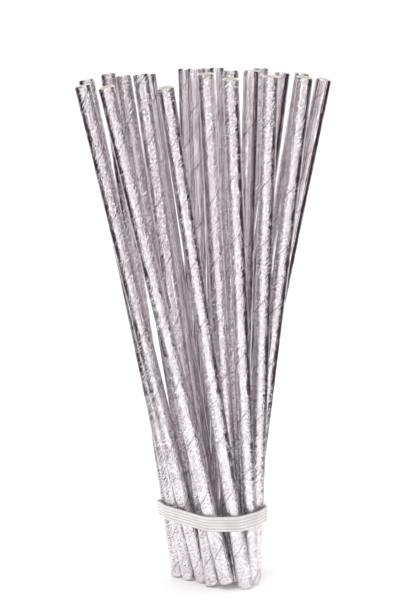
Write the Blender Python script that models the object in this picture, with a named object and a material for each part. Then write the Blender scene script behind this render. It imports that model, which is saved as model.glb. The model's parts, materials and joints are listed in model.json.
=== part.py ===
"""A fanned bunch of foil-wrapped paper drinking straws, held by an elastic band.

Frame: metres, +Z up. The origin is on the table, under the middle of the bunch.
The front of the bunch faces -Y, and its left side is at -X.

Each straw is two pieces: the paper core, and the foil strip wound over it. Every
straw can slide along its own length through the band.
"""

import math

import bmesh
import bpy
import numpy as np
from mathutils import Matrix, Vector

MM = 0.001

# One straw: a spiral-wound paper tube with a foil strip as its outer ply.
STRAW_LENGTH = 197.0 * MM
STRAW_RADIUS = 3.0 * MM
FOIL_STRIP_THICKNESS = 0.14 * MM
GLUE_LINE = 0.03 * MM
PAPER_PLIES_THICKNESS = 0.32 * MM
TUBE_FACETS = 24

# The elastic band, and how far a straw slides before its foot leaves the band.
BAND_BOTTOM = 24.0 * MM
BAND_HEIGHT = 6.0 * MM
BAND_MIDDLE = BAND_BOTTOM + 0.5 * BAND_HEIGHT
BAND_THICKNESS = 1.2 * MM
BAND_CLEARANCE = 0.35 * MM
BAND_OUTLINE_POINTS = 72
PULL_OUT_TRAVEL = 31.0 * MM

# How closely the straws are packed.
GAP_BETWEEN_STRAWS = 0.3 * MM
ROW_SPACING = 5.5 * MM

# The fan, left to right by the straws' tips. Each straw has the place of its tip
# (x in mm), its lean to the right and its lean to the front (degrees), its row in
# the band (0 is the front row), and the height of its foot above the table (mm).
FAN = [
    (-45.5, -13.5, 4.0, 0, 0.0),
    (-44.5, -11.5, 0.0, 1, 0.0),
    (-35.5, -13.0, 10.0, 0, 2.0),
    (-36.5, -8.0, -4.0, 2, 0.0),
    (-30.5, -9.0, -1.0, 2, 0.0),
    (-23.0, -8.5, 0.0, 1, 0.5),
    (-20.5, -9.0, -3.0, 3, 0.0),
    (-14.0, -8.5, 11.0, 0, 0.0),
    (-4.0, -2.0, -2.0, 4, 0.0),
    (-3.0, -1.5, -5.0, 3, 0.0),
    (1.0, -3.0, 8.0, 1, 1.5),
    (2.0, 0.0, 0.0, 5, 0.0),
    (5.5, -0.5, -5.0, 3, 1.0),
    (10.5, -1.0, -1.0, 2, 0.0),
    (10.0, -2.5, 9.0, 0, 0.0),
    (18.0, 1.5, 0.5, 3, 0.0),
    (22.5, 2.5, -4.0, 4, 0.0),
    (25.0, 2.0, 7.0, 1, 0.5),
    (31.5, 7.0, 1.5, 4, 0.0),
    (37.5, 9.0, 1.0, 5, 0.0),
    (36.5, 7.0, 9.5, 2, 1.5),
    (46.0, 11.0, 5.0, 3, 1.0),
]
UPRIGHT_STRAW = 12

# The settling of the fan, done before anything is built.
SETTLING_STEPS = 1500
SHAPE_KEEPING_SHARE = 0.7
SHAPE_KEEPING_STRENGTH = 0.03
SQUEEZE_STRENGTH = 0.01
SIDEWAYS_EASE = 0.3
SETTLING_MARGIN = 0.01 * MM


def plain_material(name, colour, roughness, metallic):
    """One Principled material of a single colour."""
    material = bpy.data.materials.new(name)
    material.use_nodes = True
    shader = material.node_tree.nodes["Principled BSDF"]
    shader.inputs["Base Color"].default_value = (*colour, 1.0)
    shader.inputs["Roughness"].default_value = roughness
    shader.inputs["Metallic"].default_value = metallic
    return material


def closest_passes(feet, slopes, first, second, height):
    """Where each pair of straight axes passes closest, between z = 0 and height.

    Returns the height of that place on the first and the second axis, and the
    vector from the second to the first.
    """
    count = len(first)
    up = np.ones((count, 1))
    run_a = np.hstack([slopes[first], up])
    run_b = np.hstack([slopes[second], up])
    apart = np.hstack([feet[first] - feet[second], 0.0 * up])
    aa = np.sum(run_a * run_a, axis=1)
    ab = np.sum(run_a * run_b, axis=1)
    bb = np.sum(run_b * run_b, axis=1)
    ad = np.sum(run_a * apart, axis=1)
    bd = np.sum(run_b * apart, axis=1)
    spread = np.maximum(aa * bb - ab * ab, 1e-9)
    on_a = np.clip((ab * bd - bb * ad) / spread, 0.0, height)
    on_b = np.zeros(count)
    for _ in range(3):
        on_b = np.clip((ab * on_a + bd) / bb, 0.0, height)
        on_a = np.clip((ab * on_b - ad) / aa, 0.0, height)
    between = apart + run_a * on_a[:, None] - run_b * on_b[:, None]
    return on_a, on_b, between


def settle(feet, slopes):
    """Let the straws push one another apart until none of them touch.

    An axis is a foot point on the table and a slope, so a push at some height
    moves the foot and turns the axis, as it would move a real rod. The fan's
    shape is kept while most of the pushing is done, and released at the end.
    """
    wanted_feet = feet.copy()
    wanted_slopes = slopes.copy()
    first, second = np.triu_indices(len(feet), 1)
    ease = np.array([SIDEWAYS_EASE, 1.0])
    spacing = 2.0 * STRAW_RADIUS + GAP_BETWEEN_STRAWS + SETTLING_MARGIN
    height = STRAW_LENGTH + PULL_OUT_TRAVEL

    for step in range(SETTLING_STEPS):
        keeping_shape = step < SHAPE_KEEPING_SHARE * SETTLING_STEPS
        on_a, on_b, between = closest_passes(feet, slopes, first, second, height)
        overlap = spacing - np.linalg.norm(between, axis=1)
        touching = np.flatnonzero(overlap > 0.0)
        if len(touching) == 0 and not keeping_shape:
            break

        away = between[touching, :2]
        away = away / np.linalg.norm(away, axis=1)[:, None]
        push = away * ease
        push *= (0.5 * overlap[touching] / np.sum(away * push, axis=1))[:, None]
        foot_moves = np.zeros_like(feet)
        top_moves = np.zeros_like(feet)
        contacts = np.zeros(len(feet))
        pairs = ((first, on_a, 1.0), (second, on_b, -1.0))
        for straws, heights, direction in pairs:
            share = (heights[touching] / height)[:, None]
            lever = direction / ((1.0 - share) ** 2 + share ** 2)
            np.add.at(foot_moves, straws[touching], push * lever * (1.0 - share))
            np.add.at(top_moves, straws[touching], push * lever * share)
            np.add.at(contacts, straws[touching], 1.0)
        calm = 1.0 / np.sqrt(np.maximum(contacts, 1.0))[:, None]
        feet += foot_moves * calm
        slopes += (top_moves - foot_moves) * calm / height

        if keeping_shape:
            back_to_shape = SHAPE_KEEPING_STRENGTH
            feet[:, 0] += back_to_shape * (wanted_feet[:, 0] - feet[:, 0])
            slopes += back_to_shape * (wanted_slopes - slopes)
            depth_in_band = feet[:, 1] + slopes[:, 1] * BAND_MIDDLE
            feet[:, 1] -= SQUEEZE_STRENGTH * (depth_in_band - np.mean(depth_in_band))
        slopes[UPRIGHT_STRAW - 1] = 0.0


def arranged_fan():
    """The settled fan: each straw's foot on the table plane, slope and lift, centred.

    A straw passes through its row's depth halfway up the band.
    """
    tip_x, lean_right, lean_front, row, lift = np.array(FAN).T
    slope_x = np.tan(np.radians(lean_right))
    slope_y = -np.tan(np.radians(lean_front))
    foot_x = tip_x * MM - slope_x * STRAW_LENGTH
    foot_y = row * ROW_SPACING - slope_y * BAND_MIDDLE
    feet = np.stack([foot_x, foot_y], axis=1)
    slopes = np.stack([slope_x, slope_y], axis=1)
    settle(feet, slopes)

    ends = np.vstack([feet, feet + slopes * STRAW_LENGTH])
    feet -= 0.5 * (ends.min(axis=0) + ends.max(axis=0))
    return feet, slopes, lift * MM


def straw_placement(foot, slope, lift):
    """World matrix of a straw's own frame: origin at its foot, +Z along it.

    The lowest point of the foot's rim is at the height lift.
    """
    axis = Vector((slope[0], slope[1], 1.0)).normalized()
    rim_drop = STRAW_RADIUS * math.sin(axis.angle(Vector((0.0, 0.0, 1.0))))
    height = lift + rim_drop
    origin = Vector((foot[0] + slope[0] * height, foot[1] + slope[1] * height, height))
    turn = Vector((0.0, 0.0, 1.0)).rotation_difference(axis)
    return Matrix.Translation(origin) @ turn.to_matrix().to_4x4()


def tube_mesh(name, outer_radius, inner_radius):
    """A straight tube, open at both ends, from z = 0 to the straw's length."""
    bm = bmesh.new()
    for radius in (outer_radius, inner_radius):
        bmesh.ops.create_circle(bm, segments=TUBE_FACETS, radius=radius)
    ring = bmesh.ops.bridge_loops(bm, edges=bm.edges[:])
    grown = bmesh.ops.extrude_face_region(bm, geom=ring["faces"])
    top = [item for item in grown["geom"] if isinstance(item, bmesh.types.BMVert)]
    bmesh.ops.translate(bm, verts=top, vec=(0.0, 0.0, STRAW_LENGTH))
    bmesh.ops.recalc_face_normals(bm, faces=bm.faces[:])
    mesh = bpy.data.meshes.new(name)
    bm.to_mesh(mesh)
    bm.free()
    mesh.shade_smooth()
    mesh.set_sharp_from_angle(angle=math.radians(40.0))
    return mesh


def band_outline(centres, offset):
    """Points of the tight convex outline around circles of one radius."""
    angles = np.linspace(0.0, 2.0 * math.pi, BAND_OUTLINE_POINTS, endpoint=False)
    normals = np.stack([np.cos(angles), np.sin(angles)], axis=1)
    outermost = np.argmax(normals @ centres.T, axis=1)
    return centres[outermost] + offset * normals


def band_mesh(name, feet, slopes):
    """The flat elastic band, stretched around the bunch."""
    widest_lean = math.sqrt(np.max(np.sum(slopes ** 2, axis=1)))
    slanted_radius = STRAW_RADIUS * math.sqrt(1.0 + widest_lean ** 2)
    inside = slanted_radius + BAND_CLEARANCE
    outside = inside + BAND_THICKNESS
    corners = (
        (BAND_BOTTOM, inside),
        (BAND_BOTTOM, outside),
        (BAND_BOTTOM + BAND_HEIGHT, outside),
        (BAND_BOTTOM + BAND_HEIGHT, inside),
    )
    bm = bmesh.new()
    rings = []
    for height, offset in corners:
        outline = band_outline(feet + slopes * height, offset)
        rings.append([bm.verts.new((x, y, height)) for x, y in outline])
    for ring, following in zip(rings, rings[1:] + rings[:1]):
        for k in range(BAND_OUTLINE_POINTS):
            after = (k + 1) % BAND_OUTLINE_POINTS
            bm.faces.new((ring[k], ring[after], following[after], following[k]))
    bmesh.ops.triangulate(bm, faces=bm.faces[:])
    bmesh.ops.recalc_face_normals(bm, faces=bm.faces[:])
    mesh = bpy.data.meshes.new(name)
    bm.to_mesh(mesh)
    bm.free()
    mesh.shade_smooth()
    mesh.set_sharp_from_angle(angle=math.radians(40.0))
    return mesh


def add_object(name, mesh, material, parent=None):
    """Put a mesh into the scene as one named object."""
    if not mesh.materials:
        mesh.materials.append(material)
    obj = bpy.data.objects.new(name, mesh)
    obj.parent = parent
    bpy.context.scene.collection.objects.link(obj)
    return obj


def build():
    for obj in list(bpy.data.objects):
        bpy.data.objects.remove(obj, do_unlink=True)

    foil = plain_material("silver_foil", (0.78, 0.75, 0.79), 0.28, 1.0)
    paper = plain_material("cream_paper", (0.88, 0.82, 0.70), 0.85, 0.0)
    elastic = plain_material("white_elastic", (0.90, 0.88, 0.84), 0.55, 0.0)

    foil_inner = STRAW_RADIUS - FOIL_STRIP_THICKNESS
    core_outer = foil_inner - GLUE_LINE
    core_inner = core_outer - PAPER_PLIES_THICKNESS
    foil_tube = tube_mesh("foil_wrap", STRAW_RADIUS, foil_inner)
    core_tube = tube_mesh("paper_core", core_outer, core_inner)

    feet, slopes, lifts = arranged_fan()
    for number, (foot, slope, lift) in enumerate(zip(feet, slopes, lifts), start=1):
        axis_frame = bpy.data.objects.new(f"straw_{number:02d}", None)
        bpy.context.scene.collection.objects.link(axis_frame)
        axis_frame.matrix_world = straw_placement(foot, slope, lift)
        add_object(f"straw_{number:02d}_foil_wrap", foil_tube, foil, axis_frame)
        add_object(f"straw_{number:02d}_paper_core", core_tube, paper, axis_frame)

    add_object("elastic_band", band_mesh("elastic_band", feet, slopes), elastic)


build()
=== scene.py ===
"""The looks of a fanned bunch of silver-foil paper straws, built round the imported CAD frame.

Every straw becomes two detailed pieces: the creased foil strip with its spiral lap,
and the cream paper core with its plies showing at the cut ends. The elastic band
becomes a ribbed elastic. Lengths are metres, unless a comment says millimetres.
"""

import itertools
import json
import math

import bmesh
import bpy
import numpy as np
from mathutils import Matrix, Vector


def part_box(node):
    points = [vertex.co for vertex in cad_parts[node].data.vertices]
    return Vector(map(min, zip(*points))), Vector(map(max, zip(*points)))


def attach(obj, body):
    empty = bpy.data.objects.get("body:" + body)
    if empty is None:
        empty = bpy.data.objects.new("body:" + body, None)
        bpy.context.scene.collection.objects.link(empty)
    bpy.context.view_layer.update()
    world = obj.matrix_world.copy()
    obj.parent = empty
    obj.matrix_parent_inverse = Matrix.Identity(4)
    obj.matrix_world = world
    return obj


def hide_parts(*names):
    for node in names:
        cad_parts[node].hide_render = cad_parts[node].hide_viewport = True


MM = 0.001

# The spiral winding: one strip, wound right-handed, with its edge lapped over the last turn.
# How far the lap fades, how wide its groove is and where extra rows lie are shares of a turn.
WINDING_PITCH = 23.0 * MM
FOIL_THICKNESS = 0.14 * MM
LAP_HEIGHT = 0.015 * MM
LAP_FADE = 0.10
GROOVE_DEPTH = 0.030 * MM
GROOVE_WIDTH = 0.008
COLUMNS = 40
ROWS_PER_TURN = 32
SEAM_ROWS = (0.003, 0.007, 0.012, 0.986, 0.993, 0.997)
CUT_TOLERANCE = 0.002 * MM

# Creases and dents in the foil's mesh: heights and spacings are millimetres.
CREASE_HEIGHT = 0.011
CREASE_SPACING = 1.5
FINE_HEIGHT_SHARE = 0.5
FINE_SPACING_SHARE = 0.55
DENT_HEIGHT = 0.020
DENT_SPACING = 7.0
ALONG_STRIP = 2.2
SMOOTH_STRAWS = {7, 9, 10, 12, 13, 16, 19, 20, 22}
SMOOTH_SHARE = 0.25

# What sets one straw apart from the next: where its seam starts, in radians, and its own
# part of the noise. The shift is in millimetres along the straw for each unit of the seed.
SEAM_TURN = 2.399963
CORE_TURN = 2.0
SEED_STEP = np.array((3.1, 5.3, 7.7))
SEED_SHIFT = 20.0
FINE_SEED = 9.3
DENT_SEED = 4.7

# The paper core: its plies step in and out at the cut ends, which are a little torn, and
# its bore has rows that lie closer towards the mouths.
PLIES = 3
PLY_STEP = 0.03 * MM
PLY_EDGE = 0.12
CUT_ROUGHNESS = 0.025 * MM
CUT_NOISE_AROUND = 5.1
CUT_NOISE_ACROSS = 6.8
CUT_DEPTH = 1.0 * MM
CORE_COLUMNS = 40
BORE_STEP = 0.5 * MM
BORE_GROWTH = 1.22
BORE_ROWS = 21
BORE_REACH = 0.45
CORE_SHARP = math.radians(35.0)

# The elastic band. Its section is given in shares of its thickness and height.
BAND_THICKNESS = 1.2 * MM
BAND_RIBS = 5
RIB_DEPTH = 0.24 * MM
RIB_POINTS = 6
BAND_CORNER = 0.62
BAND_INSIDE = (0.25, 1.0), (0.0, 0.96)
BAND_BACK_ROWS = np.linspace(0.85, 0.15, 6)
BAND_STEP = 0.7 * MM
BAND_SHARP = math.radians(50.0)
OUTLINE_RAYS = 1440

# Most of a noise texture's values lie in this range.
NOISE_RANGE = (0.35, 0.65)

# The foil's and the paper's materials. Scales are per millimetre of the strip or straw,
# stretches are shares of them along its length, and the seams' half widths are millimetres.
CRINKLE_SCALE = 1.45
FOLD_SCALE = 1.25
FOLD_REACH = 0.35
FOLD_HEIGHT = 0.20
STREAK_SCALE = 2.6
STREAK_STRETCH = 0.04
PATCH_SCALE = 0.16
PATCH_HEIGHTS = (0.45, 1.5)
STRIP_STRETCH = 0.85
TONE_RANGE = (0.36, 0.64)
RELIEF_DISTANCE = 2.0 * MM
# The foil's seam line is darkened: partly its exposed paper edge, partly painted shade along the lap's
# groove.
FOIL_SEAM = 0.36
FOIL_SEAM_EDGE_AND_SHADE = 0.90
FIBRE_SCALE = 3.0
FIBRE_STRETCH = (3.0, 3.0, 0.8)
FIBRE_SHARE = 0.4
MOTTLE_SCALE = 0.8
MOTTLE_SHARE = 0.6
PAPER_SEAM = 0.14
PAPER_SEAM_WEAR = 0.5
PAPER_ROUGHNESS = 0.88
DULL_SILVER = (0.64, 0.597, 0.622, 1.0)
BRIGHT_SILVER = (0.97, 0.937, 0.955, 1.0)
# The seam line's dark colour stands for the exposed paper edge and for painted shade.
SEAM_EDGE_AND_SHADE_COLOUR = (0.26, 0.22, 0.26, 1.0)
DARK_CREAM = (0.74, 0.68, 0.61, 1.0)
LIGHT_CREAM = (0.86, 0.82, 0.76, 1.0)
PAPER_EDGE = (0.48, 0.42, 0.35, 1.0)

# The elastic's material, with scales per metre.
THREAD_SCALE = 2600.0
THREAD_STRETCH = (1.0, 1.0, 0.12)
THREAD_RANGE = (0.3, 0.7)
THREAD_ROUGHNESS = (0.55, 0.80)
THREAD_STRENGTH = 0.7
THREAD_DEPTH = 0.06 * MM
DUST_SCALE = 180.0
DUST_RANGE = (0.35, 0.7)
# Painted shade: the grooves between the ribs are darkened towards the rib shadow colour.
GROOVE_SHARPNESS = 2.0
GROOVE_SHADE = 0.7
ELASTIC_SHEEN = 0.25
CLEAN_IVORY = (0.80, 0.78, 0.76, 1.0)
DUSTY_IVORY = (0.68, 0.655, 0.635, 1.0)
RIB_SHADOW = (0.30, 0.285, 0.28, 1.0)

# The camera.
CAMERA_TARGET = Vector((0.0, 0.0, 0.100))
CAMERA_DISTANCE = 0.850
CAMERA_ELEVATION = math.radians(9.0)
CAMERA_AIM = Vector((-0.0008, 0.0, 0.1105))
CAMERA_LENS = 133.9
SENSOR_WIDTH = 36.0

# The set. Azimuths are degrees round from the front. The side cards stand beside the
# straws and darken their edges, the wings lie on the floor under them, the grey cards lie
# on the floor in front, and the strips stand in front and light the straws' shoulders.
FLOOR_SIZE = 90.0
FLOOR_SHADE = (0.80, 0.80, 0.80)
FLOOR_GLOW = 0.20
DARK_SHADE = (0.030, 0.010, 0.021)
CARD_HEIGHT = 0.9
SIDE_AZIMUTH, SIDE_DISTANCE, SIDE_WIDTH = 86.0, 0.30, 0.54
WING_PLACE = (0.21, 0.05, 0.0015)
WING_SIZE = (0.18, 0.44)
GREY_TINT = (1.0, 0.94, 0.98)
GREY_SPREAD = 1.2
GREY_LIFT = 0.001
GREY_CARDS = (  # name, shade, distance of the nearest edge, depth
    ("near", 0.68, 0.31, 0.24),
    ("far", 0.46, 0.55, 0.90),
)
STRIP_AZIMUTH, STRIP_DISTANCE, STRIP_WIDTH = 36.0, 0.5, 0.09
STRIP_SHADE = (1.0, 0.98, 1.0)
STRIP_GLOW = 1.08
TENT_COLOUR = (1.0, 0.985, 1.0, 1.0)
TENT_FRONT, TENT_BACK = 0.70, 1.45
TENT_RAMP = (-1.0, 0.6)
TENT_SEEN = 1.08
SOFTBOXES = (  # name, azimuth, watts, size
    ("key_softbox", -35.0, 4.0, 0.8),
    ("fill_softbox", 150.0, 3.0, 0.9),
)
SOFTBOX_DISTANCE, SOFTBOX_HEIGHT = 0.7, 1.1

LATTICE_SIZE = 32
LATTICE_SEED = 11


# ---------------------------------------------------------------- reading the frame


def mesh_points(mesh):
    """A mesh's vertices as an array, one row each."""
    points = np.empty(len(mesh.vertices) * 3)
    mesh.vertices.foreach_get("co", points)
    return points.reshape(-1, 3)


def straw_axis(joint, foil_node, core_node):
    """A straw's own frame and sizes, read from its joint and its two CAD nodes.

    Returns its world matrix (origin at the foot, +Z along the straw), its length,
    and the outer radius of the foil and the outer and inner radius of the core.
    """
    axis = Vector(joint["axis"]).normalized()
    foil = mesh_points(foil_node.data)
    along = foil @ np.array(axis)
    end_ring = along < along.min() + 0.01 * MM
    foot = foil[end_ring].mean(axis=0)
    turn = Vector((0.0, 0.0, 1.0)).rotation_difference(axis)
    placing = Matrix.Translation(Vector(foot)) @ turn.to_matrix().to_4x4()

    def radii(points):
        arm = points - foot
        arm -= np.outer(arm @ np.array(axis), np.array(axis))
        return np.linalg.norm(arm, axis=1)

    core = radii(mesh_points(core_node.data))
    return placing, along.max() - along.min(), radii(foil).max(), core.max(), core.min()


# ---------------------------------------------------------------- noise


def noise_lattice():
    return np.random.default_rng(LATTICE_SEED).uniform(-1.0, 1.0, (LATTICE_SIZE,) * 3)


def smooth_noise(points, lattice):
    """Smooth noise between -1 and 1 at the points, from a repeating lattice."""
    cell = np.floor(points).astype(int)
    part = points - cell
    blend = part * part * (3.0 - 2.0 * part)
    total = np.zeros(len(points))
    for corner in itertools.product((0, 1), repeat=3):
        weight = np.prod(np.where(corner, blend, 1.0 - blend), axis=1)
        x, y, z = ((cell + corner) % LATTICE_SIZE).T
        total += weight * lattice[x, y, z]
    return total


def creases(points, lattice):
    """Sharp folds: high along thin lines, and lower the further from them."""
    return 1.0 - 2.0 * np.sqrt(np.abs(smooth_noise(points, lattice)))


# ---------------------------------------------------------------- mesh helpers


def wound_position(points, phase):
    """Each point's place on the strip, in mm: the tube's turn is unwound along its length."""
    angle = np.arctan2(points[:, 1], points[:, 0])
    angle -= 2.0 * math.pi * points[:, 2] / WINDING_PITCH + phase
    radius = np.hypot(points[:, 0], points[:, 1])
    wound = np.stack([radius * np.cos(angle), radius * np.sin(angle), points[:, 2]], axis=1)
    return wound / MM


def store_places(mesh, phase, seed):
    """Keep each vertex's unwound and plain place, in mm, for the materials to read.

    A shift along the length gives every piece its own stretch of the noise.
    """
    points = mesh_points(mesh)
    for name, place in (("wound", wound_position(points, phase)), ("straight", points / MM)):
        place[:, 2] += seed[2] * SEED_SHIFT
        attribute = mesh.attributes.new(name, "FLOAT_VECTOR", "POINT")
        attribute.data.foreach_set("vector", place.astype(np.float32).ravel())


def ring_faces(rings, columns):
    """Faces from each ring of points to the next, and from the last ring to the first."""
    faces = []
    for ring in range(rings):
        following = (ring + 1) % rings
        for column in range(columns):
            after = (column + 1) % columns
            faces.append((ring * columns + column, ring * columns + after,
                          following * columns + after, following * columns + column))
    return faces


def closed_mesh(name, points, faces, sharp_angle):
    """A closed mesh with its faces pointing out, smooth except at its sharp edges."""
    mesh = bpy.data.meshes.new(name)
    mesh.from_pydata(points, [], faces)
    bm = bmesh.new()
    bm.from_mesh(mesh)
    bmesh.ops.recalc_face_normals(bm, faces=bm.faces[:])
    bm.to_mesh(mesh)
    bm.free()
    mesh.shade_smooth()
    mesh.set_sharp_from_angle(angle=sharp_angle)
    return mesh


def new_piece(name, mesh, materials, placing, body, replaced):
    """Put a mesh in place as one piece that rides on a body and stands for a CAD node."""
    for material in materials:
        mesh.materials.append(material)
    obj = bpy.data.objects.new(name, mesh)
    bpy.context.scene.collection.objects.link(obj)
    obj.matrix_world = placing
    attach(obj, body)
    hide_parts(replaced)


# ---------------------------------------------------------------- the foil strip


def turn_rows():
    """Where the rows of the mesh lie within one turn, from 0 to 1, closer at the seam."""
    even = np.linspace(0.0, 1.0, ROWS_PER_TURN, endpoint=False)
    return np.sort(np.concatenate([even, SEAM_ROWS]))


def lap_height(turn):
    """The strip's height over a plain tube: a step at the seam that fades, and a groove."""
    part = turn - np.floor(turn)
    lap = LAP_HEIGHT * np.clip(1.0 - part / LAP_FADE, 0.0, 1.0)
    groove = GROOVE_DEPTH * np.clip(1.0 - (1.0 - part) / GROOVE_WIDTH, 0.0, 1.0)
    return lap - groove


def foil_relief(points, crease_share, seed, lattice):
    """Height of the foil's creases and dents, in metres, at points in wound millimetres."""
    strip = points * (1.0, 1.0, 1.0 / ALONG_STRIP)
    fine_spacing = FINE_SPACING_SHARE * CREASE_SPACING
    coarse = creases(strip / CREASE_SPACING + seed, lattice)
    fine = creases(strip / fine_spacing + seed + FINE_SEED, lattice)
    dents = smooth_noise(strip / DENT_SPACING + seed + DENT_SEED, lattice)
    crinkle = CREASE_HEIGHT * crease_share * (coarse + FINE_HEIGHT_SHARE * fine)
    return (crinkle + DENT_HEIGHT * dents) * MM


def foil_grid(length, radius, crease_share, phase, seed, lattice):
    """Points and faces of the strip's outer side, longer than the straw at both ends.

    The rows of the mesh follow the winding, so that the lap is one clean edge: the
    last column joins the first one a whole turn further up.
    """
    in_turn = turn_rows()
    per_turn = len(in_turn)
    turns = math.ceil(length / WINDING_PITCH) + 2
    row_turn = (np.arange(-1, turns - 1)[:, None] + in_turn[None, :]).ravel()
    column = np.arange(COLUMNS) / COLUMNS
    turn_grid, column_grid = np.meshgrid(row_turn, column, indexing="ij")
    height = (turn_grid + column_grid).ravel() * WINDING_PITCH
    angle = 2.0 * math.pi * column_grid.ravel() + phase
    plain = np.stack([radius * np.cos(angle), radius * np.sin(angle), height], axis=1)
    bumped = radius + lap_height(turn_grid.ravel())
    bumped += foil_relief(wound_position(plain, phase), crease_share, seed, lattice)
    points = np.stack([bumped * np.cos(angle), bumped * np.sin(angle), height], axis=1)

    def vertex(row, col):
        return row * COLUMNS + col if col < COLUMNS else (row + per_turn) * COLUMNS

    faces = [
        (vertex(r, c), vertex(r, c + 1), vertex(r + 1, c + 1), vertex(r + 1, c))
        for r in range(len(row_turn) - per_turn - 1)
        for c in range(COLUMNS)
    ]
    return points.tolist(), faces


def cut_to_length(bm, length):
    """Cut the straw square at its foot and at its mouth."""
    for end, outward in ((0.0, -1.0), (length, 1.0)):
        everything = bm.verts[:] + bm.edges[:] + bm.faces[:]
        bmesh.ops.bisect_plane(bm, geom=everything, dist=CUT_TOLERANCE, plane_co=(0.0, 0.0, end),
                               plane_no=(0.0, 0.0, outward), clear_outer=True)
    loose = [v for v in bm.verts if not v.link_faces]
    bmesh.ops.delete(bm, geom=loose, context="VERTS")


def add_inner_side(bm, inner_radius):
    """Close the strip: a rim at each cut end, and a plain inner side between them."""
    edges = [e for e in bm.edges if e.is_boundary]
    grown = bmesh.ops.extrude_edge_only(bm, edges=edges)["geom"]
    for vert in [item for item in grown if isinstance(item, bmesh.types.BMVert)]:
        shrink = inner_radius / math.hypot(vert.co.x, vert.co.y)
        vert.co.x *= shrink
        vert.co.y *= shrink
    rims = [item for item in grown if isinstance(item, bmesh.types.BMFace)]
    inner_edges = [item for item in grown if isinstance(item, bmesh.types.BMEdge)]
    inner_edges = [e for e in inner_edges if e.is_boundary]
    inner_side = bmesh.ops.bridge_loops(bm, edges=inner_edges)["faces"]
    for face in rims + inner_side:
        face.material_index = 1
        face.smooth = False


def foil_mesh(name, length, radius, crease_share, phase, seed, lattice):
    """The foil strip wound into a closed tube wall: foil outside, paper on the cut and inside."""
    points, faces = foil_grid(length, radius, crease_share, phase, seed, lattice)
    mesh = bpy.data.meshes.new(name)
    mesh.from_pydata(points, [], faces)
    bm = bmesh.new()
    bm.from_mesh(mesh)
    cut_to_length(bm, length)
    for face in bm.faces:
        face.smooth = True
    add_inner_side(bm, radius - FOIL_THICKNESS)
    bmesh.ops.recalc_face_normals(bm, faces=bm.faces[:])
    bm.to_mesh(mesh)
    bm.free()
    store_places(mesh, phase, seed)
    return mesh


# ---------------------------------------------------------------- the paper core


def cut_profile(outer, inner):
    """(radius, rise) points over the plies at a cut end, from the outside in."""
    ply = (outer - inner) / PLIES
    edge = PLY_EDGE * ply
    rises = (0.0, PLY_STEP, -0.5 * PLY_STEP)
    cut = []
    for k in range(PLIES):
        ply_outer = outer - k * ply
        cut.append((ply_outer - edge, rises[k]))
        cut.append((ply_outer - ply + edge, rises[k]))
        if k + 1 < PLIES:
            cut.append((ply_outer - ply, min(rises[k], rises[k + 1]) - PLY_STEP))
    return cut


def core_profile(length, outer, inner):
    """(radius, height) points round the core's wall: over the plies at the mouth, down the
    bore, and back over the plies at the foot. The outside closes the ring."""
    cut = cut_profile(outer, inner)
    depths = np.cumsum(BORE_STEP * BORE_GROWTH ** np.arange(1, BORE_ROWS + 1))
    depths = depths[depths < BORE_REACH * length]
    bore_rows = np.concatenate([length - depths, depths[::-1]])
    mouth = [(r, length + rise) for r, rise in cut]
    foot = [(r, -rise) for r, rise in cut[::-1]]
    return mouth + [(inner, z) for z in bore_rows] + foot


def core_mesh(name, length, outer, inner, phase, seed, lattice):
    """The cream paper tube inside the foil, open at both ends."""
    profile = np.array(core_profile(length, outer, inner))
    column = 2.0 * math.pi * np.arange(CORE_COLUMNS) / CORE_COLUMNS
    radius, angle = [grid.ravel() for grid in np.meshgrid(profile[:, 0], column, indexing="ij")]
    height = np.repeat(profile[:, 1], CORE_COLUMNS)
    around = [np.cos(angle) * CUT_NOISE_AROUND, np.sin(angle) * CUT_NOISE_AROUND]
    ring = np.stack([*around, radius / MM * CUT_NOISE_ACROSS], axis=1)
    at_end = (height < CUT_DEPTH) | (height > length - CUT_DEPTH)
    torn = CUT_ROUGHNESS * smooth_noise(ring + seed, lattice)
    height = height + np.where(at_end, torn, 0.0)
    points = np.stack([radius * np.cos(angle), radius * np.sin(angle), height], axis=1)
    faces = ring_faces(len(profile), CORE_COLUMNS)
    mesh = closed_mesh(name, points.tolist(), faces, CORE_SHARP)
    store_places(mesh, phase, seed)
    return mesh


# ---------------------------------------------------------------- the elastic band


def band_outline(centres, offset, count):
    """Evenly spaced points of the tight outline round circles of one radius, and its length."""
    angles = np.linspace(0.0, 2.0 * math.pi, OUTLINE_RAYS, endpoint=False)
    normals = np.stack([np.cos(angles), np.sin(angles)], axis=1)
    outline = centres[np.argmax(normals @ centres.T, axis=1)] + offset * normals
    closed = np.vstack([outline, outline[:1]])
    run = np.concatenate([[0.0], np.cumsum(np.linalg.norm(np.diff(closed, axis=0), axis=1))])
    wanted = np.linspace(0.0, run[-1], count, endpoint=False)
    points = np.stack([np.interp(wanted, run, closed[:, k]) for k in range(2)], axis=1)
    return points, run[-1]


def band_section():
    """The elastic's cross-section: (share of the thickness outwards, share of the height)."""
    section = []
    for k in range(BAND_RIBS * RIB_POINTS + 1):
        share = k / (BAND_RIBS * RIB_POINTS)
        rib = abs(math.sin(math.pi * BAND_RIBS * share))
        section.append((1.0 - (1.0 - rib) * RIB_DEPTH / BAND_THICKNESS, share))
    section[0] = (BAND_CORNER, 0.0)
    section[-1] = (BAND_CORNER, 1.0)
    below = [(outwards, 1.0 - share) for outwards, share in reversed(BAND_INSIDE)]
    return section + [*BAND_INSIDE] + [(0.0, share) for share in BAND_BACK_ROWS] + below


def crossing(placing, height):
    """Where a straw's centre line passes a height: (x, y)."""
    foot, axis = placing.translation, placing.col[2]
    run = (height - foot.z) / axis.z
    return foot.x + run * axis.x, foot.y + run * axis.y


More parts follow.
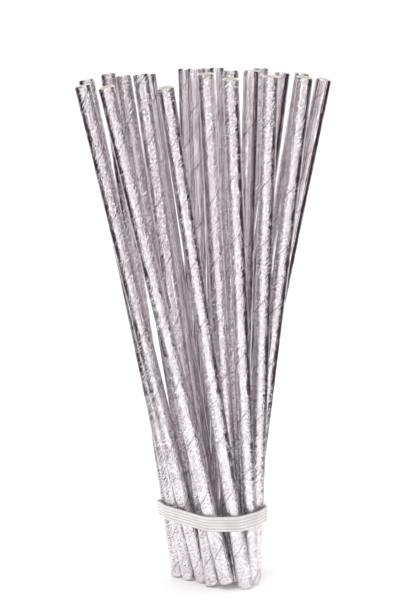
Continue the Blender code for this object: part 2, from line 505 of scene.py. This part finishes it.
def band_mesh(name, straws, low, high, outer_offset):
    """The ribbed elastic, following the straws as they spread."""
    def centres(height):
        return np.array([crossing(placing, height) for placing in straws])

    _, around = band_outline(centres(0.5 * (low + high)), outer_offset, 1)
    count = int(around / BAND_STEP)
    section = band_section()
    points = []
    for outwards, share in section:
        height = low + share * (high - low)
        offset = outer_offset - (1.0 - outwards) * BAND_THICKNESS
        outline, _ = band_outline(centres(height), offset, count)
        points += [(x, y, height) for x, y in outline]
    return closed_mesh(name, points, ring_faces(len(section), count), BAND_SHARP)


# ---------------------------------------------------------------- materials


class Nodes:
    """Short calls for building one material's nodes."""

    def __init__(self, name):
        self.material = bpy.data.materials.new(name)
        self.material.use_nodes = True
        self.tree = self.material.node_tree
        self.shader = self.tree.nodes["Principled BSDF"]

    def add(self, kind, values=None, **settings):
        node = self.tree.nodes.new("ShaderNode" + kind)
        for key, value in settings.items():
            setattr(node, key, value)
        for key, value in (values or {}).items():
            self.put(node, key, value)
        return node

    def put(self, node, key, value):
        if isinstance(value, bpy.types.NodeSocket):
            self.tree.links.new(value, node.inputs[key])
        else:
            node.inputs[key].default_value = value

    def math(self, operation, first, second=0.0):
        return self.add("Math", {0: first, 1: second}, operation=operation).outputs[0]

    def place(self, attribute):
        return self.add("Attribute", attribute_name=attribute).outputs["Vector"]

    def scaled(self, vector, scale):
        return self.add("Mapping", {"Vector": vector, "Scale": scale}).outputs[0]

    def noise(self, vector, scale, detail=2.0, roughness=0.5):
        values = {"Vector": vector, "Scale": scale, "Detail": detail, "Roughness": roughness}
        return self.add("TexNoise", values).outputs["Fac"]

    def between(self, value, source, result=(0.0, 1.0)):
        """The value carried over from one range to another, and kept inside it."""
        values = {0: value, 1: source[0], 2: source[1], 3: result[0], 4: result[1]}
        return self.add("MapRange", values).outputs[0]

    def blend(self, first, first_share, second, second_share):
        """The weighted sum of two values."""
        weighted = self.math("MULTIPLY", first, first_share)
        return self.math("ADD", weighted, self.math("MULTIPLY", second, second_share))

    def mix(self, share, first, second):
        node = self.add("Mix", {0: share}, data_type="RGBA")
        self.put(node, 6, first)
        self.put(node, 7, second)
        return node.outputs[2]

    def bump(self, height, strength, distance):
        values = {"Height": height, "Strength": strength, "Distance": distance}
        return self.add("Bump", values).outputs["Normal"]

    def seam(self, wound, half_width):
        """1 along the strip's edge, 0 elsewhere, from the unwound place."""
        place = self.add("SeparateXYZ", {0: wound}).outputs
        away = self.math("ABSOLUTE", place[1])
        line = self.between(away, (0.0, half_width), (1.0, 0.0))
        return self.math("MULTIPLY", line, self.math("GREATER_THAN", place[0], 0.0))


def foil_material(name, crease_slope, streak_slope, streak_share, roughness):
    """Silver foil on paper: faint lavender, creased along the strip, and dark at the seam: partly its
    exposed paper edge, partly painted shade.
    """
    n = Nodes(name)
    wound = n.place("wound")
    strip = n.scaled(wound, (1.0, 1.0, STRIP_STRETCH))
    crinkle = n.noise(strip, CRINKLE_SCALE, detail=1.0)
    folds = n.add("TexVoronoi", {"Vector": strip, "Scale": FOLD_SCALE}, feature="DISTANCE_TO_EDGE")
    facets = n.between(folds.outputs["Distance"], (0.0, FOLD_REACH), (0.0, FOLD_HEIGHT))
    drawn_out = n.scaled(n.place("straight"), (1.0, 1.0, STREAK_STRETCH))
    streaks = n.noise(drawn_out, STREAK_SCALE, detail=1.0)
    patches = n.between(n.noise(wound, PATCH_SCALE), NOISE_RANGE, PATCH_HEIGHTS)

    folded = n.math("MULTIPLY", n.math("ADD", crinkle, facets), patches)
    relief = n.blend(folded, crease_slope, streaks, streak_slope)
    n.put(n.shader, "Normal", n.bump(relief, 1.0, RELIEF_DISTANCE))

    tone = n.blend(crinkle, 1.0 - streak_share, streaks, streak_share)
    silver = n.mix(n.between(tone, TONE_RANGE), DULL_SILVER, BRIGHT_SILVER)
    # The seam line, darkened: partly its paper edge, partly painted shade in the lap's groove.
    wear_and_shade = n.math("MULTIPLY", n.seam(wound, FOIL_SEAM), FOIL_SEAM_EDGE_AND_SHADE)
    n.put(n.shader, "Base Color", n.mix(wear_and_shade, silver, SEAM_EDGE_AND_SHADE_COLOUR))
    n.put(n.shader, "Metallic", 1.0)
    n.put(n.shader, "Roughness", roughness)
    return n.material


def paper_material():
    """Uncoated cream paper: fibres, a spiral seam, and a little mottling."""
    n = Nodes("cream_paper_fibres")
    wound = n.place("wound")
    fibres = n.noise(n.scaled(wound, FIBRE_STRETCH), FIBRE_SCALE, detail=5.0, roughness=0.65)
    mottle = n.noise(wound, MOTTLE_SCALE, detail=3.0)
    tone = n.blend(mottle, MOTTLE_SHARE, fibres, FIBRE_SHARE)
    cream = n.mix(n.between(tone, NOISE_RANGE), DARK_CREAM, LIGHT_CREAM)
    wear_and_shade = n.math("MULTIPLY", n.seam(wound, PAPER_SEAM), PAPER_SEAM_WEAR)
    n.put(n.shader, "Base Color", n.mix(wear_and_shade, cream, PAPER_EDGE))
    n.put(n.shader, "Roughness", PAPER_ROUGHNESS)
    return n.material


def elastic_material(low, high):
    """Off-white elastic: painted shade in the grooves between its ribs, fine cross threads, a dusty
    sheen.
    """
    n = Nodes("ribbed_elastic")
    place = n.add("TexCoord").outputs["Object"]
    height = n.add("SeparateXYZ", {0: place}).outputs[2]
    rib_turn = n.between(height, (low, high), (0.0, math.pi * BAND_RIBS))
    groove = n.math("SUBTRACT", 1.0, n.math("ABSOLUTE", n.math("SINE", rib_turn)))
    groove = n.math("POWER", groove, GROOVE_SHARPNESS)
    threads = n.noise(n.scaled(place, THREAD_STRETCH), THREAD_SCALE)
    dust = n.noise(place, DUST_SCALE, detail=4.0)
    ivory = n.mix(n.between(dust, DUST_RANGE), CLEAN_IVORY, DUSTY_IVORY)
    # Painted shade in the grooves between the ribs.
    wear_and_shade = n.math("MULTIPLY", groove, GROOVE_SHADE)
    n.put(n.shader, "Base Color", n.mix(wear_and_shade, ivory, RIB_SHADOW))
    n.put(n.shader, "Roughness", n.between(threads, THREAD_RANGE, THREAD_ROUGHNESS))
    n.put(n.shader, "Sheen Weight", ELASTIC_SHEEN)
    n.put(n.shader, "Normal", n.bump(threads, THREAD_STRENGTH, THREAD_DEPTH))
    return n.material


# ---------------------------------------------------------------- building the pieces


def build_straws(frame, lattice):
    """Every straw's two pieces. Returns the straws' world matrices."""
    creased = foil_material("silver_foil_creased", crease_slope=0.140, streak_slope=0.020,
                            streak_share=0.15, roughness=0.10)
    smooth = foil_material("silver_foil_smooth", crease_slope=0.030, streak_slope=0.070,
                           streak_share=0.75, roughness=0.09)
    paper = paper_material()
    joints = {joint["child"]: joint for joint in frame["joints"]}
    placings = []
    for body in sorted(joints):
        number = int(body.split("_")[1])
        nodes = [frame["nodes"][body + ending] for ending in ("_foil_wrap", "_paper_core")]
        placing, length, radius, core_outer, core_inner = straw_axis(joints[body], *nodes)
        placings.append(placing)
        phase = SEAM_TURN * number
        seed = SEED_STEP * number
        share, foil = (SMOOTH_SHARE, smooth) if number in SMOOTH_STRAWS else (1.0, creased)
        name = body + "_foil_spiral"
        mesh = foil_mesh(name, length, radius, share, phase, seed, lattice)
        new_piece(name, mesh, [foil, paper], placing, body, body + "_foil_wrap")
        name = body + "_core_plies"
        mesh = core_mesh(name, length, core_outer, core_inner, phase + CORE_TURN, seed, lattice)
        new_piece(name, mesh, [paper], placing, body, body + "_paper_core")
    return placings


def build_band(straws):
    """The elastic, as far out from the outermost straw's centre line as the CAD band is."""
    low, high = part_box("elastic_band")
    outer_offset = high.x - max(crossing(placing, high.z)[0] for placing in straws)
    mesh = band_mesh("elastic_band_ribbed", straws, low.z, high.z, outer_offset)
    new_piece("elastic_band_ribbed", mesh, [elastic_material(low.z, high.z)], Matrix.Identity(4),
              "band", "elastic_band")


# ---------------------------------------------------------------- the set


def flat_material(name, colour, glow=0.0):
    material = bpy.data.materials.new(name)
    material.use_nodes = True
    shader = material.node_tree.nodes["Principled BSDF"]
    shader.inputs["Base Color"].default_value = (*colour, 1.0)
    shader.inputs["Roughness"].default_value = 0.9
    shader.inputs["Emission Color"].default_value = (*colour, 1.0)
    shader.inputs["Emission Strength"].default_value = glow
    return material


def stage_plane(name, size_x, size_y, placing, material):
    """A flat rectangle of the set, in its own XY plane."""
    x, y = 0.5 * size_x, 0.5 * size_y
    mesh = bpy.data.meshes.new(name)
    mesh.from_pydata([(-x, -y, 0.0), (x, -y, 0.0), (x, y, 0.0), (-x, y, 0.0)], [], [(0, 1, 2, 3)])
    mesh.materials.append(material)
    obj = bpy.data.objects.new(name, mesh)
    bpy.context.scene.collection.objects.link(obj)
    obj.matrix_world = placing
    return obj


def card(name, size_x, size_y, placing, material):
    """A rectangle that only shows in reflections."""
    obj = stage_plane(name, size_x, size_y, placing, material)
    obj.visible_camera = False
    obj.visible_diffuse = False
    obj.visible_shadow = False
    obj.visible_transmission = False


def round_place(azimuth, distance, height):
    """A point, azimuth degrees round from the front."""
    a = math.radians(azimuth)
    return Vector((math.sin(a) * distance, -math.cos(a) * distance, height))


def standing(azimuth, distance):
    """Placing of a card that stands on the floor and faces the object."""
    facing = Matrix.Rotation(math.radians(azimuth), 4, "Z") @ Matrix.Rotation(math.radians(90.0), 4, "X")
    return Matrix.Translation(round_place(azimuth, distance, 0.5 * CARD_HEIGHT)) @ facing


def build_floor_and_cards():
    stage_plane("floor", FLOOR_SIZE, FLOOR_SIZE, Matrix.Identity(4),
                flat_material("pale_floor", FLOOR_SHADE, FLOOR_GLOW))
    dark = flat_material("dark_card", DARK_SHADE)
    bright = flat_material("bright_strip", STRIP_SHADE, STRIP_GLOW)
    wing_x, wing_y, wing_lift = WING_PLACE
    for side, name in ((-1.0, "left"), (1.0, "right")):
        place = standing(side * SIDE_AZIMUTH, SIDE_DISTANCE)
        card(name + "_card", SIDE_WIDTH, CARD_HEIGHT, place, dark)
        place = Matrix.Translation((side * wing_x, wing_y, wing_lift))
        card(name + "_wing", *WING_SIZE, place, dark)
        place = standing(side * STRIP_AZIMUTH, STRIP_DISTANCE)
        card(name + "_strip", STRIP_WIDTH, CARD_HEIGHT, place, bright)
    for name, shade, nearest, depth in GREY_CARDS:
        grey = flat_material(name + "_grey", [shade * tint for tint in GREY_TINT])
        middle = nearest + 0.5 * depth
        place = Matrix.Translation((0.0, -middle, GREY_LIFT))
        card(name + "_card", GREY_SPREAD * middle, depth, place, grey)


def build_tent():
    """White all round, dimmer to the front, and plain white where the camera sees it."""
    world = bpy.data.worlds.new("white_tent")
    bpy.context.scene.world = world
    world.use_nodes = True
    tree = world.node_tree
    sky = tree.nodes["Background"]
    coordinates = tree.nodes.new("ShaderNodeTexCoord")
    split = tree.nodes.new("ShaderNodeSeparateXYZ")
    ramp = tree.nodes.new("ShaderNodeMapRange")
    for key, value in enumerate((*TENT_RAMP, TENT_FRONT, TENT_BACK), start=1):
        ramp.inputs[key].default_value = value
    path = tree.nodes.new("ShaderNodeLightPath")
    brightness = tree.nodes.new("ShaderNodeMix")
    brightness.inputs[3].default_value = TENT_SEEN
    tree.links.new(coordinates.outputs["Generated"], split.inputs[0])
    tree.links.new(split.outputs[1], ramp.inputs[0])
    tree.links.new(path.outputs["Is Camera Ray"], brightness.inputs[0])
    tree.links.new(ramp.outputs[0], brightness.inputs[2])
    tree.links.new(brightness.outputs[0], sky.inputs["Strength"])
    sky.inputs["Color"].default_value = TENT_COLOUR


def point_at(obj, place, target):
    """Put a lamp or camera in place, looking at the target."""
    obj.location = place
    obj.rotation_euler = (target - place).to_track_quat("-Z", "Y").to_euler()
    bpy.context.scene.collection.objects.link(obj)


def build_softboxes():
    for name, azimuth, watts, size in SOFTBOXES:
        light = bpy.data.lights.new(name, "AREA")
        light.size = size
        light.energy = watts
        place = round_place(azimuth, SOFTBOX_DISTANCE, SOFTBOX_HEIGHT)
        point_at(bpy.data.objects.new(name, light), place, CAMERA_TARGET)


def build_camera():
    scene = bpy.context.scene
    scene.view_settings.view_transform = "Standard"
    data = bpy.data.cameras.new("camera")
    data.lens = CAMERA_LENS
    data.sensor_width = SENSOR_WIDTH
    data.clip_start = 0.01
    data.clip_end = 20.0
    camera = bpy.data.objects.new("camera", data)
    back = Vector((0.0, -math.cos(CAMERA_ELEVATION), math.sin(CAMERA_ELEVATION)))
    point_at(camera, CAMERA_TARGET + CAMERA_DISTANCE * back, CAMERA_AIM)
    scene.camera = camera


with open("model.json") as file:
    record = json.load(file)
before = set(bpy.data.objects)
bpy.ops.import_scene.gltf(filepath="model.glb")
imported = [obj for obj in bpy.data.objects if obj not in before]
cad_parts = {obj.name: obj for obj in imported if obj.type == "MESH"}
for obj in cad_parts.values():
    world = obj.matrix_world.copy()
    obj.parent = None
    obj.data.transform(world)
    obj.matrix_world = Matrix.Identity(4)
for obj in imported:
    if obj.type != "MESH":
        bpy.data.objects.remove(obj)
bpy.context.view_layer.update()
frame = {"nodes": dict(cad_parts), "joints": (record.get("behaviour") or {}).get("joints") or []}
build_band(build_straws(frame, noise_lattice()))
build_floor_and_cards()
build_tent()
build_softboxes()
build_camera()
